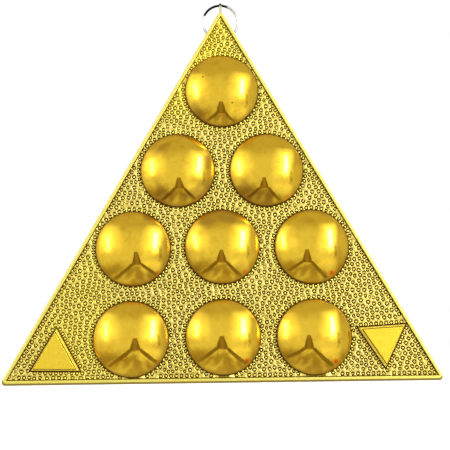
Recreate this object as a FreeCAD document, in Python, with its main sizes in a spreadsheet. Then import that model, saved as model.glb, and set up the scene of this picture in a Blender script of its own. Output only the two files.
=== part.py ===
"""Triangular brass wall plaque with nine polished domes, two raised triangles and a hanging ring.

Every piece is drawn as it lies on a bench, face up: across is X, up the plaque is Y, and
Z rises from the wall side to the front. A quarter turn about X then stands it up, so in
the finished part X is across, Z is up and the front faces -Y. The origin is on the wall
plane, under the middle of the lower edge. All lengths are millimetres.
"""
import FreeCAD, Part
import math
import os
import Sketcher
from FreeCAD import Placement, Rotation, Vector

# Driving sizes: each one is a cell of the sheet

SIZES = [
    # The cast plate: its side and depth follow from what it carries
    ("edge_draft", 1.0),
    ("corner_radius", 1.2),
    ("rim_width", 1.0),
    ("rim_height", 0.8),
    ("rim_round", 0.3),
    ("web_thickness", 2.0),
    ("skirt_width", 2.4),
    ("hollow_corner_radius", 3.0),
    # The clear gaps between neighbouring domes, and from them to the rim
    ("dome_side_gap", 5.3),
    ("rim_dome_gap", 0.8),
    ("third_row_gap", 5.1),
    ("second_row_gap", 5.4),
    ("top_row_gap", 6.53),
    ("apex_dome_gap", 0.94),
    ("hand_set_play", 0.6),
    # One dome
    ("dome_diameter", 25.4),
    ("dome_crown_radius", 19.0),
    ("dome_foot_height", 0.9),
    ("dome_edge_round", 0.8),
    ("dome_wall", 1.3),
    ("dome_boss_radius", 3.2),
    ("dome_boss_gap", 0.2),
    ("dome_tapping_cover", 1.34),
    # The screw behind each dome
    ("dome_screw_radius", 1.5),
    ("dome_screw_head_radius", 2.75),
    ("dome_screw_head_height", 1.9),
    ("dome_screw_slot_width", 0.8),
    ("dome_screw_slot_depth", 0.9),
    # One raised triangle
    ("triangle_side", 16.5),
    ("triangle_height", 2.6),
    ("triangle_draft", 0.8),
    ("triangle_edge_round", 0.2),
    ("triangle_tapping_cover", 0.7),
    # The clear gaps from each raised triangle to its dome and to the rim
    ("upright_dome_gap", 4.75),
    ("upright_rim_gap", 3.0),
    ("inverted_dome_gap", 2.4),
    ("inverted_rim_gap", 2.6),
    ("inverted_corner_gap", 0.58),
    # The screw behind each raised triangle
    ("triangle_screw_radius", 1.25),
    ("triangle_screw_head_radius", 2.25),
    ("triangle_screw_head_height", 1.6),
    ("triangle_screw_slot_width", 0.6),
    ("triangle_screw_slot_depth", 0.7),
    # The hanging ring and the lug that carries it
    ("ring_radius", 6.2),
    ("wire_radius", 0.4),
    ("ring_butt_gap", 0.15),
    ("ring_bay_gap", 1.2),
    ("eye_above_apex", 0.92),
    ("eye_wall", 0.3),
    ("lug_thickness", 0.8),
    ("lug_tail_length", 8.0),
    ("lug_tail_depth", 1.0),
    # Clearances and small allowances
    ("ring_back_gap", 0.3),
    ("eye_clearance", 0.1),
    ("braze_gap", 0.05),
    ("thread_clearance", 0.05),
    ("screw_hole_clearance", 0.2),
    ("screw_head_gap", 0.5),
    ("screw_tip_chamfer", 0.3),
    ("screw_tip_room", 0.3),
    ("cut_overrun", 2.0),
]

# Each dome: how many pitches across, which row, and how far it was set off its mark

DOME_PLACE_SHARES = [
    (0.0, "top_row", 0.25, 0.0),
    (-0.5, "second_row", 0.0, 0.0),
    (0.5, "second_row", 0.0, 0.0),
    (-1.0, "third_row", 0.15, -0.4),
    (0.0, "third_row", -0.5, 0.4),
    (1.0, "third_row", -0.4, 0.0),
    (-1.0, "bottom_row", -1.0, -0.35),
    (0.0, "bottom_row", -0.35, 0.25),
    (1.0, "bottom_row", -0.1, -0.15),
]

# Angles in degrees

FULL_TURN = 360.0
HALF_TURN = 180.0
STAND_UP_TURN = 90.0
FIRST_SLOT_TURN = 12.0
SLOT_TURN_STEP = 37.0
DRILL_TIP_ANGLE = 118.0
RING_BUTT_TURN = -38.0
UPRIGHT_TRIANGLE_TURN = -0.9
INVERTED_TRIANGLE_TURN = HALF_TURN + 3.6

# How near two levels are taken as one, and the most that a small round may take of its wall

SAME_LEVEL_SHARE = 1e-4
ROUND_OF_WALL_SHARE = 0.9
ROUND_OF_RIM_SHARE = 0.25

# Levels and places that follow from the driving sizes

LEVELS = [
    # How far each row of domes stands above the one below it, so that they clear each other
    ("rim_inset", "sizes.edge_draft + sizes.rim_width"),
    ("dome_radius", "sizes.dome_diameter / 2"),
    ("dome_pitch", "sizes.dome_diameter + sizes.dome_side_gap"),
    ("bottom_row", "levels.rim_inset + sizes.rim_dome_gap + levels.dome_radius"),
    ("third_rise", "sizes.dome_diameter + sizes.third_row_gap"),
    ("second_reach", "sizes.dome_diameter + sizes.second_row_gap"),
    ("second_rise", "sqrt(levels.second_reach ^ 2 - (levels.dome_pitch / 2) ^ 2)"),
    ("top_reach", "sizes.dome_diameter + sizes.top_row_gap"),
    ("top_rise", "sqrt(levels.top_reach ^ 2 - (levels.dome_pitch / 2) ^ 2)"),
    ("apex_reach", "2 * (levels.dome_radius + levels.rim_inset + sizes.apex_dome_gap)"),
    ("rows_height", "levels.bottom_row + levels.third_rise + levels.second_rise"),
    ("column_height", "levels.rows_height + levels.top_rise + levels.apex_reach"),
    # The raised triangles stand between the outer domes and the lower rim
    ("triangle_reach", "sizes.triangle_side / sqrt(3)"),
    ("row_end", "levels.dome_pitch + levels.dome_radius"),
    ("upright_across", "-(levels.row_end + sizes.upright_dome_gap + sizes.triangle_side / 2)"),
    ("upright_up", "levels.rim_inset + sizes.upright_rim_gap + levels.triangle_reach / 2"),
    ("inverted_across", "levels.row_end + sizes.inverted_dome_gap + sizes.triangle_side / 2"),
    ("inverted_up", "levels.rim_inset + sizes.inverted_rim_gap + levels.triangle_reach"),
    ("corner_reach", "levels.triangle_reach + levels.rim_inset + sizes.inverted_corner_gap"),
    ("corner_room", "(levels.inverted_up + 2 * levels.corner_reach) / sqrt(3)"),
    ("corner_half_side", "levels.inverted_across + levels.corner_room"),
    # The plate is as large as its column of domes asks, or its inverted triangle, and the
    # rows of domes share what it then has to spare
    ("half_side", "max(levels.column_height / sqrt(3); levels.corner_half_side)"),
    ("plate_height", "levels.half_side * sqrt(3)"),
    ("row_slack", "(levels.plate_height - levels.column_height) / 3"),
    ("third_row", "levels.bottom_row + levels.third_rise + levels.row_slack"),
    ("second_row", "levels.third_row + levels.second_rise + levels.row_slack"),
    ("top_row", "levels.second_row + levels.top_rise + levels.row_slack"),
    # From the wall forward: the hollow hides the screw heads
    ("tallest_head", "max(sizes.dome_screw_head_height; sizes.triangle_screw_head_height)"),
    ("hollow_depth", "levels.tallest_head + sizes.screw_head_gap"),
    ("ground_level", "levels.hollow_depth + sizes.web_thickness"),
    ("rim_level", "levels.ground_level + sizes.rim_height"),
    # The dome's arc, and how deep the domes and triangles are tapped
    ("crown_drop", "sqrt(sizes.dome_crown_radius ^ 2 - levels.dome_radius ^ 2)"),
    ("crown_centre", "sizes.dome_foot_height - levels.crown_drop"),
    ("crown_up", "levels.crown_centre + sizes.dome_crown_radius"),
    ("dome_drill_radius", "sizes.dome_screw_radius + sizes.thread_clearance"),
    ("drill_tip", f"levels.dome_drill_radius / tan({DRILL_TIP_ANGLE} / 2)"),
    ("dome_tapping", "levels.crown_up - sizes.dome_tapping_cover - levels.drill_tip"),
    ("triangle_tapping", "sizes.triangle_height - sizes.triangle_tapping_cover"),
    # The ring hangs from the eye, in a bay above the skirt
    ("ring_level", "levels.hollow_depth - sizes.ring_back_gap - sizes.wire_radius"),
    ("eye_up", "levels.plate_height + sizes.eye_above_apex"),
    ("ring_up", "levels.eye_up - sizes.ring_radius"),
    ("ring_bottom", "levels.ring_up - sizes.ring_radius - sizes.wire_radius"),
    ("skirt_top", "levels.ring_bottom - sizes.ring_bay_gap"),
    ("hollow_top", "levels.skirt_top - sizes.skirt_width"),
    ("eye_radius", "sizes.wire_radius + sizes.eye_clearance"),
    ("ear_radius", "levels.eye_radius + sizes.eye_wall"),
    ("tail_front", "levels.hollow_depth + sizes.lug_tail_depth"),
    ("tail_top", "levels.eye_up - levels.ear_radius"),
    ("tail_bottom", "levels.tail_top - sizes.lug_tail_length"),
]

# The two raised triangles: name, place across and up, and turn

TRIANGLES = [
    ("upright_triangle", "levels.upright_across", "levels.upright_up", UPRIGHT_TRIANGLE_TURN),
    ("inverted_triangle", "levels.inverted_across", "levels.inverted_up", INVERTED_TRIANGLE_TURN),
]

doc = FreeCAD.newDocument("wall_plaque")
sheet = doc.addObject("Spreadsheet::Sheet", "sizes")
for row_number, (alias, size) in enumerate(SIZES, start=1):
    sheet.set(f"A{row_number}", str(size))
    sheet.setAlias(f"A{row_number}", alias)
doc.recompute()
levels = doc.addObject("App::VarSet", "levels")
for name, formula in LEVELS:
    levels.addProperty("App::PropertyFloat", name)
    levels.setExpression(name, formula)
doc.recompute()

sub_parts = []


def value(expression):
    """The number that an expression on the sheet gives now."""
    return float(sheet.evalExpression(expression))


def new_body(name):
    """A sub-part that is built up from sketches and features."""
    body = doc.addObject("PartDesign::Body", name)
    body.Label = name
    sub_parts.append(body)
    return body


def stand(piece, across, up, level, turn=0.0):
    """Puts a sub-part in its place: across and up on the plaque, at a level above the wall."""
    upright = Rotation(Vector(1, 0, 0), STAND_UP_TURN)
    piece.Placement = Placement(Vector(), upright * Rotation(Vector(0, 0, 1), turn))
    piece.setExpression("Placement.Base.x", across)
    piece.setExpression("Placement.Base.y", f"-({level})")
    piece.setExpression("Placement.Base.z", up)


def sketch_on(body, name, plane_role, level="0"):
    """An empty sketch on one of the body's own origin planes, raised to a level."""
    sketch = body.newObject("Sketcher::SketchObject", name)
    planes = [f for f in body.Origin.OriginFeatures if f.Role == plane_role]
    sketch.AttachmentSupport = (planes[0], "")
    sketch.MapMode = "FlatFace"
    sketch.setExpression("AttachmentOffset.Base.z", level)
    return sketch


def hold(sketch, kind, geometry, point, expression):
    """Ties one coordinate of a point to the sheet, measured from the sketch's origin."""
    index = sketch.addConstraint(
        Sketcher.Constraint(kind, -1, 1, geometry, point, value(expression))
    )
    sketch.setExpression(f"Constraints[{index}]", expression)


def pin_point(sketch, geometry, point, place):
    """Ties both coordinates of a point to the sheet."""
    hold(sketch, "DistanceX", geometry, point, place[0])
    hold(sketch, "DistanceY", geometry, point, place[1])


def add_polygon(sketch, corners):
    """A closed outline of straight lines; a corner is a pair of expressions."""
    points = [Vector(value(a), value(b), 0) for a, b in corners]
    count = len(points)
    first = sketch.GeometryCount
    for i in range(count):
        sketch.addGeometry(Part.LineSegment(points[i], points[(i + 1) % count]), False)
    for i in range(count):
        following = first + (i + 1) % count
        sketch.addConstraint(Sketcher.Constraint("Coincident", first + i, 2, following, 1))
        pin_point(sketch, first + i, 1, corners[i])


def add_circle(sketch, centre, radius):
    """A circle whose centre and radius follow the sheet."""
    middle = Vector(value(centre[0]), value(centre[1]), 0)
    circle = sketch.addGeometry(Part.Circle(middle, Vector(0, 0, 1), value(radius)), False)
    pin_point(sketch, circle, 3, centre)
    index = sketch.addConstraint(Sketcher.Constraint("Radius", circle, value(radius)))
    sketch.setExpression(f"Constraints[{index}]", radius)


def add_arc(sketch, centre_up, radius, start, end):
    """An arc about a point on the sketch's upright axis, from one place to another."""
    middle = Vector(0, value(centre_up), 0)
    from_point = Vector(value(start[0]), value(start[1]), 0) - middle
    to_point = Vector(value(end[0]), value(end[1]), 0) - middle
    angles = (math.atan2(from_point.y, from_point.x), math.atan2(to_point.y, to_point.x))
    circle = Part.Circle(middle, Vector(0, 0, 1), value(radius))
    arc = sketch.addGeometry(Part.ArcOfCircle(circle, angles[0], angles[1]), False)
    pin_point(sketch, arc, 3, ("0", centre_up))
    index = sketch.addConstraint(Sketcher.Constraint("Radius", arc, value(radius)))
    sketch.setExpression(f"Constraints[{index}]", radius)
    return arc


def add_open_lines(sketch, corners):
    """Straight lines through a row of corners, all but the first and last corner pinned."""
    points = [Vector(value(a), value(b), 0) for a, b in corners]
    first = sketch.GeometryCount
    for i in range(len(points) - 1):
        sketch.addGeometry(Part.LineSegment(points[i], points[i + 1]), False)
    for i in range(1, len(points) - 1):
        before = first + i - 1
        sketch.addConstraint(Sketcher.Constraint("Coincident", before, 2, first + i, 1))
        pin_point(sketch, first + i, 1, corners[i])
    return first, sketch.GeometryCount - 1


def plate_corners(inset):
    """The plate's own triangle on its lower edge's middle, drawn in by an inset."""
    half = f"(levels.half_side - {inset} * sqrt(3))"
    return [
        (f"-{half}", inset),
        (half, inset),
        ("0", f"levels.plate_height - 2 * {inset}"),
    ]


def inset_half_width(inset, up):
    """Half the width of the plate's triangle, drawn in by an inset, at a height."""
    return f"(levels.half_side - {inset} * sqrt(3) - ({up} - {inset}) / sqrt(3))"


def pad(body, sketch, length, taper="0"):
    """Raises a sketch to a length, its sides drawn in by a taper angle."""
    feature = body.newObject("PartDesign::Pad", f"{sketch.Name}_pad")
    feature.Profile = sketch
    feature.setExpression("Length", length)
    feature.setExpression("TaperAngle", f"-({taper})")
    doc.recompute()
    return feature


def cut(body, sketch, depth, upwards):
    """Cuts a sketch into the body to a depth, and makes sure that it took metal away."""
    before = body.Shape.Volume
    feature = body.newObject("PartDesign::Pocket", f"{sketch.Name}_cut")
    feature.Profile = sketch
    feature.Reversed = upwards
    feature.setExpression("Length", depth)
    doc.recompute()
    if not body.Shape.Volume < before:
        raise RuntimeError(f"{feature.Name} cut nothing")
    return feature


def drill(body, sketch, diameter, depth=None):
    """Drills each circle of a sketch, through the body or to a depth with a drill's tip."""
    doc.recompute()
    before = body.Shape.Volume
    feature = body.newObject("PartDesign::Hole", f"{sketch.Name}_drilled")
    feature.Profile = sketch
    feature.Reversed = True
    feature.setExpression("Diameter", diameter)
    if depth is None:
        feature.DepthType = "ThroughAll"
    else:
        feature.DepthType = "Dimension"
        feature.setExpression("Depth", depth)
        feature.DrillPoint = "Angled"
        feature.DrillPointAngle = DRILL_TIP_ANGLE
    doc.recompute()
    if not body.Shape.Volume < before:
        raise RuntimeError(f"{feature.Name} drilled nothing")
    return feature


def revolve(body, sketch, kind="PartDesign::Revolution"):
    """Turns a profile right round the body's own Z axis."""
    feature = body.newObject(kind, f"{sketch.Name}_turned")
    feature.Profile = sketch
    feature.ReferenceAxis = (sketch, ["V_Axis"])
    feature.Angle = FULL_TURN
    doc.recompute()
    return feature


def round_edges(body, wanted, radius):
    """Rounds every edge of the body's last feature that the test picks."""
    base = body.Tip
    names = [f"Edge{i + 1}" for i, e in enumerate(base.Shape.Edges) if wanted(e)]
    feature = body.newObject("PartDesign::Fillet", f"{base.Name}_round")
    feature.Base = (base, names)
    feature.setExpression("Radius", radius)
    doc.recompute()
    return feature


def lies_at(edge, level):
    """Whether an edge lies flat at a level of the body's own frame."""
    box = edge.BoundBox
    near = SAME_LEVEL_SHARE * value("levels.rim_level")
    return abs(box.ZMin - level) < near and abs(box.ZMax - level) < near


def spans(edge, low, high):
    """Whether an edge climbs from one level of the body's own frame to another."""
    box = edge.BoundBox
    near = SAME_LEVEL_SHARE * value("levels.rim_level")
    return abs(box.ZMin - low) < near and abs(box.ZMax - high) < near


def dome_places():
    """Where each dome stands on the plaque, as expressions for across and up."""
    places = []
    for column_share, row, across_share, up_share in DOME_PLACE_SHARES:
        across = f"({column_share} * levels.dome_pitch + {across_share} * sizes.hand_set_play)"
        up = f"(levels.{row} + {up_share} * sizes.hand_set_play)"
        places.append((across, up))
    return places


def make_base_plate():
    """The cast plate: drafted edge, raised rim, thin web, hollow back and all its holes."""
    body = new_body("base_plate")

    outline = sketch_on(body, "outline", "XY_Plane")
    add_polygon(outline, plate_corners("0"))
    pad(body, outline, "levels.rim_level", "atan(sizes.edge_draft / levels.rim_level)")
    front = value("levels.rim_level")
    round_edges(body, lambda edge: spans(edge, 0.0, front), "sizes.corner_radius")

    face = sketch_on(body, "face", "XY_Plane", "levels.rim_level")
    add_polygon(face, plate_corners("levels.rim_inset"))
    cut(body, face, "sizes.rim_height", upwards=False)

    hollow = sketch_on(body, "hollow", "XY_Plane")
    low_half = inset_half_width("sizes.skirt_width", "sizes.skirt_width")
    top_half = inset_half_width("sizes.skirt_width", "levels.hollow_top")
    add_polygon(hollow, [
        (f"-{low_half}", "sizes.skirt_width"),
        (low_half, "sizes.skirt_width"),
        (top_half, "levels.hollow_top"),
        (f"-{top_half}", "levels.hollow_top"),
    ])
    cut(body, hollow, "levels.hollow_depth", upwards=True)
    web_back = value("levels.hollow_depth")
    round_edges(body, lambda edge: spans(edge, 0.0, web_back), "sizes.hollow_corner_radius")

    bay = sketch_on(body, "ring_bay", "XY_Plane")
    bay_half = f"({inset_half_width('0', 'levels.skirt_top')} + sizes.cut_overrun)"
    bay_top = "(levels.plate_height + sizes.cut_overrun)"
    add_polygon(bay, [
        (f"-{bay_half}", "levels.skirt_top"),
        (bay_half, "levels.skirt_top"),
        (bay_half, bay_top),
        (f"-{bay_half}", bay_top),
    ])
    cut(body, bay, "levels.hollow_depth", upwards=True)

    slot = sketch_on(body, "lug_slot", "XY_Plane")
    slot_half = "(sizes.lug_thickness / 2 + sizes.braze_gap)"
    slot_bottom = "(levels.tail_bottom - sizes.braze_gap)"
    add_polygon(slot, [
        (f"-{slot_half}", slot_bottom),
        (slot_half, slot_bottom),
        (slot_half, bay_top),
        (f"-{slot_half}", bay_top),
    ])
    cut(body, slot, "levels.tail_front + sizes.braze_gap", upwards=True)

    dome_holes = sketch_on(body, "dome_holes", "XY_Plane")
    hole_radius = "(sizes.dome_screw_radius + sizes.screw_hole_clearance)"
    for place in dome_places():
        add_circle(dome_holes, place, hole_radius)
    drill(body, dome_holes, f"2 * {hole_radius}")

    triangle_holes = sketch_on(body, "triangle_holes", "XY_Plane")
    hole_radius = "(sizes.triangle_screw_radius + sizes.screw_hole_clearance)"
    for _, across, up, _ in TRIANGLES:
        add_circle(triangle_holes, (across, up), hole_radius)
    drill(body, triangle_holes, f"2 * {hole_radius}")

    widest_round = f"{ROUND_OF_RIM_SHARE} * min(sizes.rim_height; sizes.rim_width)"
    rim_round = f"min(sizes.rim_round; {widest_round})"
    round_edges(body, lambda edge: lies_at(edge, front), rim_round)
    stand(body, "0", "0", "0")


def make_dome(number, place):
    """One cast and polished dome: a thin cap on a short upright foot, with a tapped boss."""
    body = new_body(f"dome_{number}")
    radius = "levels.dome_radius"
    foot = "sizes.dome_foot_height"
    centre_up = "levels.crown_centre"
    crown_up = "levels.crown_up"

    skin = sketch_on(body, f"skin_{number}", "XZ_Plane")
    arc = add_arc(skin, centre_up, "sizes.dome_crown_radius", (radius, foot), ("0", crown_up))
    corners = [("0", crown_up), ("0", "0"), (radius, "0"), (radius, foot)]
    first, last = add_open_lines(skin, corners)
    skin.addConstraint(Sketcher.Constraint("Coincident", arc, 2, first, 1))
    skin.addConstraint(Sketcher.Constraint("Coincident", last, 2, arc, 1))
    skin.addConstraint(Sketcher.Constraint("PointOnObject", first, 1, -2))
    skin.addConstraint(Sketcher.Constraint("Vertical", last))
    revolve(body, skin)
    foot_level = value(foot)
    widest_round = f"{ROUND_OF_WALL_SHARE} * min(sizes.dome_foot_height; sizes.dome_wall)"
    edge_round = f"min(sizes.dome_edge_round; {widest_round})"
    round_edges(body, lambda edge: lies_at(edge, foot_level), edge_round)

    inner = "(sizes.dome_crown_radius - sizes.dome_wall)"
    wide = f"({radius} - sizes.dome_wall)"
    wide_up = f"({centre_up} + sqrt({inner} ^ 2 - {wide} ^ 2))"
    boss = "sizes.dome_boss_radius"
    boss_up = f"({centre_up} + sqrt({inner} ^ 2 - {boss} ^ 2))"
    hollow = sketch_on(body, f"dome_hollow_{number}", "XZ_Plane")
    arc = add_arc(hollow, centre_up, inner, (wide, wide_up), (boss, boss_up))
    corners = [
        (boss, boss_up),
        (boss, "sizes.dome_boss_gap"),
        ("0", "sizes.dome_boss_gap"),
        ("0", "0"),
        (wide, "0"),
        (wide, wide_up),
    ]
    first, last = add_open_lines(hollow, corners)
    hollow.addConstraint(Sketcher.Constraint("Coincident", arc, 2, first, 1))
    hollow.addConstraint(Sketcher.Constraint("Coincident", last, 2, arc, 1))
    hollow.addConstraint(Sketcher.Constraint("Vertical", first))
    hollow.addConstraint(Sketcher.Constraint("Vertical", last))
    revolve(body, hollow, "PartDesign::Groove")

    tapping = sketch_on(body, f"tapping_{number}", "XY_Plane")
    add_circle(tapping, ("0", "0"), "levels.dome_drill_radius")
    drill(body, tapping, "2 * levels.dome_drill_radius", "levels.dome_tapping")
    stand(body, place[0], place[1], "levels.ground_level")


def make_screw(name, family, place, turn):
    """A slotted cheese-head screw, put in from the back of the web, its head against it."""
    body = new_body(name)
    shank = f"sizes.{family}_screw_radius"
    head = f"sizes.{family}_screw_head_radius"
    height = f"sizes.{family}_screw_head_height"
    length = f"(sizes.web_thickness + levels.{family}_tapping - sizes.screw_tip_room)"
    chamfer = "sizes.screw_tip_chamfer"
    profile = sketch_on(body, f"{name}_profile", "XZ_Plane")
    add_polygon(profile, [
        ("0", f"-{height}"),
        (head, f"-{height}"),
        (head, "0"),
        (shank, "0"),
        (shank, f"{length} - {chamfer}"),
        (f"{shank} - {chamfer}", length),
        ("0", length),
    ])
    revolve(body, profile)

    slot = sketch_on(body, f"{name}_slot", "XY_Plane", f"-{height}")
    half = f"(sizes.{family}_screw_slot_width / 2)"
    reach = f"({head} + sizes.cut_overrun)"
    add_polygon(slot, [
        (f"-{reach}", f"-{half}"),
        (reach, f"-{half}"),
        (reach, half),
        (f"-{reach}", half),
    ])
    cut(body, slot, f"sizes.{family}_screw_slot_depth", upwards=True)
    stand(body, place[0], place[1], "levels.hollow_depth", turn)


def make_raised_triangle(name, across, up, turn):
    """A solid three-sided block with drafted sides, tapped from behind."""
    body = new_body(name)
    outline = sketch_on(body, f"{name}_outline", "XY_Plane")
    add_polygon(outline, [
        ("-sizes.triangle_side / 2", "-levels.triangle_reach / 2"),
        ("sizes.triangle_side / 2", "-levels.triangle_reach / 2"),
        ("0", "levels.triangle_reach"),
    ])
    draft = "atan(sizes.triangle_draft / sizes.triangle_height)"
    pad(body, outline, "sizes.triangle_height", draft)
    round_edges(body, lambda edge: not lies_at(edge, 0.0), "sizes.triangle_edge_round")

    radius = "(sizes.triangle_screw_radius + sizes.thread_clearance)"
    tapping = sketch_on(body, f"{name}_tapping", "XY_Plane")
    add_circle(tapping, ("0", "0"), radius)
    cut(body, tapping, "levels.triangle_tapping", upwards=True)
    stand(body, across, up, "levels.ground_level", turn)


def make_hanger_lug():
    """A flat tab, set edgewise: its tail is brazed in a slot behind the apex, its eye above it."""
    body = new_body("hanger_lug")
    side_view = sketch_on(body, "lug_side", "YZ_Plane")
    add_polygon(side_view, [
        ("levels.tail_bottom", "levels.hollow_depth"),
        ("levels.tail_top - levels.ear_radius", "levels.hollow_depth"),
        ("levels.eye_up", "levels.ring_level - levels.ear_radius"),
        ("levels.eye_up", "levels.ring_level + levels.ear_radius"),
        ("levels.tail_top", "levels.tail_front"),
        ("levels.tail_bottom", "levels.tail_front"),
    ])
    tab = pad(body, side_view, "sizes.lug_thickness")
    tab.Midplane = True

    ear = sketch_on(body, "lug_ear", "YZ_Plane")
    add_circle(ear, ("levels.eye_up", "levels.ring_level"), "levels.ear_radius")
    rounded = pad(body, ear, "sizes.lug_thickness")
    rounded.Midplane = True

    eye = sketch_on(body, "lug_eye", "YZ_Plane")
    add_circle(eye, ("levels.eye_up", "levels.ring_level"), "levels.eye_radius")
    hole = cut(body, eye, "sizes.lug_thickness + sizes.cut_overrun", upwards=False)
    hole.Midplane = True
    stand(body, "0", "0", "0")


def make_hanging_ring():
    """A ring of round wire, hanging down from the lug's eye, its ends butted together."""
    ring = doc.addObject("Part::Torus", "hanging_ring")
    ring.Label = "hanging_ring"
    ring.setExpression("Radius1", "sizes.ring_radius")
    ring.setExpression("Radius2", "sizes.wire_radius")
    butt = "sizes.ring_butt_gap / (2 * pi * sizes.ring_radius)"
    ring.setExpression("Angle3", f"{FULL_TURN} * (1 - {butt})")
    sub_parts.append(ring)
    stand(ring, "0", "levels.ring_up", "levels.ring_level", RING_BUTT_TURN)


make_base_plate()
for number, place in enumerate(dome_places(), start=1):
    make_dome(number, place)
    slot_turn = FIRST_SLOT_TURN + SLOT_TURN_STEP * number
    make_screw(f"dome_screw_{number}", "dome", place, slot_turn)
for name, across, up, turn in TRIANGLES:
    make_raised_triangle(name, across, up, turn)
    make_screw(f"{name}_screw", "triangle", (across, up), turn + SLOT_TURN_STEP)
make_hanger_lug()
make_hanging_ring()
doc.recompute()

for item in doc.Objects:
    if "Invalid" in item.State or "Error" in item.State:
        raise RuntimeError(f"{item.Name} did not compute: {item.State}")
for piece in sub_parts:
    if piece.Shape.isNull() or not piece.Shape.isValid() or len(piece.Shape.Solids) != 1:
        raise RuntimeError(f"{piece.Label} is not one sound solid")

os.makedirs("parts", exist_ok=True)
for piece in sub_parts:
    piece.Shape.exportStep(f"parts/{piece.Label}.step")
    box = piece.Shape.BoundBox
    print(
        f"{piece.Label}: volume {piece.Shape.Volume:.2f}, "
        f"X {box.XMin:.2f} to {box.XMax:.2f}, "
        f"Y {box.YMin:.2f} to {box.YMax:.2f}, "
        f"Z {box.ZMin:.2f} to {box.ZMax:.2f}"
    )
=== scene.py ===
# %% [markdown]
# # A brass wall plaque with nine polished domes
#
# The plaque is a triangular brass casting, about 152 mm a side. Nine mirror-polished domes and
# two raised triangles stand on a ground that is punched all over with small beads, and a wire
# ring hangs behind the apex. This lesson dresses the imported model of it: the model brings every
# piece in its true size and place, and here the pieces get their fine shapes and their metals.
#
# The first cell loads the model. Its pieces ride on two bodies, the plaque and the ring.

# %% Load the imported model
import math
import random
import bpy
from mathutils import Matrix, Vector


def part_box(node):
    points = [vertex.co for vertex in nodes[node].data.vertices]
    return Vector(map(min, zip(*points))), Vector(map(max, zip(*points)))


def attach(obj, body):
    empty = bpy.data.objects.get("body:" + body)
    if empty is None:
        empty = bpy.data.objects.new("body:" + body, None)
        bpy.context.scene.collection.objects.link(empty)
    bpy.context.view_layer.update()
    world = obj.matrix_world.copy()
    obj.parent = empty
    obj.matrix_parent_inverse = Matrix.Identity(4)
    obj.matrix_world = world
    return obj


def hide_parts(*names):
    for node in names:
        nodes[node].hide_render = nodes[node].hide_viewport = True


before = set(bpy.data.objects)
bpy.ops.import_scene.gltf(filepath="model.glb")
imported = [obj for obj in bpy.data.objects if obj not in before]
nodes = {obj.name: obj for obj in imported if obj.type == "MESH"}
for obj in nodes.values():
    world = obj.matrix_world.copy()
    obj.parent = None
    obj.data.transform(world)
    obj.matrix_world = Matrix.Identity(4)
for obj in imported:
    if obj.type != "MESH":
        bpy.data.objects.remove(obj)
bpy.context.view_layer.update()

# %% [markdown]
# ## The camera
#
# The corners, the dome outlines and the rows of the photographed plaque were fitted with a
# pinhole camera. It stood low, close and a little to the left, with a long lens. A camera that
# is placed by hand would do as well, but then the perspective of the domes and the triangles
# would never quite agree with the picture, so the fitted place and turn are written down here.

# %% Camera
MM = 0.001
CAMERA_PLACE = Vector((-7.7, -281.6, 22.6)) * MM
CAMERA_RIGHT = Vector((0.99950919, -0.02940564, -0.01080214))
CAMERA_UP = Vector((0.0074477, -0.11188242, 0.99369354))
LENS_MM = 65.03
SENSOR_MM = 36.0
NEAREST_SEEN = 10.0 * MM


def add_camera():
    """The photograph's camera, with a square picture on its sensor."""
    data = bpy.data.cameras.new("portrait_camera")
    data.lens = LENS_MM
    data.sensor_width = SENSOR_MM
    data.clip_start = NEAREST_SEEN
    camera = bpy.data.objects.new("portrait_camera", data)
    back = CAMERA_RIGHT.cross(CAMERA_UP)
    turn = Matrix((CAMERA_RIGHT, CAMERA_UP, back)).transposed()
    camera.matrix_world = Matrix.Translation(CAMERA_PLACE) @ turn.to_4x4()
    bpy.context.scene.collection.objects.link(camera)
    bpy.context.scene.camera = camera
    return camera


camera = add_camera()
print("camera at", tuple(round(c, 4) for c in camera.matrix_world.translation))

# %% [markdown]
# ## Shader maths in Python
#
# Metals need masks: how high a point lies above the ground, how far it is from the rim, how
# worn it is. Building such masks by clicking nodes together is slow to read. The small class
# below wraps one socket, so that `1 - mask` or `height * 2` adds the Math node by itself, and
# `Wire.make` adds every other kind of node.

# %% Wires
class Wire:
    """One output socket, with Python's own arithmetic."""

    def __init__(self, node, output=0):
        self.tree = node.id_data
        self.node = node
        self.socket = node.outputs[output]

    @classmethod
    def make(cls, tree, kind, settings=None, sockets=None, output=0):
        """A node of a kind: its settings first, then values or wires for its sockets."""
        node = tree.nodes.new(kind)
        for name, setting in (settings or {}).items():
            setattr(node, name, setting)
        for name, part in (sockets or {}).items():
            if isinstance(part, Wire):
                tree.links.new(part.socket, node.inputs[name])
            else:
                node.inputs[name].default_value = part
        return cls(node, output)

    def out(self, output):
        """Another output of the same node."""
        return Wire(self.node, output)

    def __add__(self, other):
        return maths("ADD", self, other)

    def __radd__(self, other):
        return maths("ADD", other, self)

    def __sub__(self, other):
        return maths("SUBTRACT", self, other)

    def __rsub__(self, other):
        return maths("SUBTRACT", other, self)

    def __mul__(self, other):
        return maths("MULTIPLY", self, other)

    def __rmul__(self, other):
        return maths("MULTIPLY", other, self)

    def __truediv__(self, other):
        return maths("DIVIDE", self, other)

    def __rtruediv__(self, other):
        return maths("DIVIDE", other, self)

    def __abs__(self):
        return maths("ABSOLUTE", self)

    def ramp(self, low, high, bottom=0.0, top=1.0):
        """Climbs smoothly from bottom to top while this value goes from low to high."""
        settings = {"interpolation_type": "SMOOTHSTEP"}
        sockets = {
            "Value": self, "From Min": low, "From Max": high, "To Min": bottom, "To Max": top,
        }
        return Wire.make(self.tree, "ShaderNodeMapRange", settings, sockets)

    def between(self, low, high, soft):
        """A mask that is 1 between two values, with soft edges."""
        rise = self.ramp(low - soft, low + soft)
        return rise * self.ramp(high - soft, high + soft, 1.0, 0.0)


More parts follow.
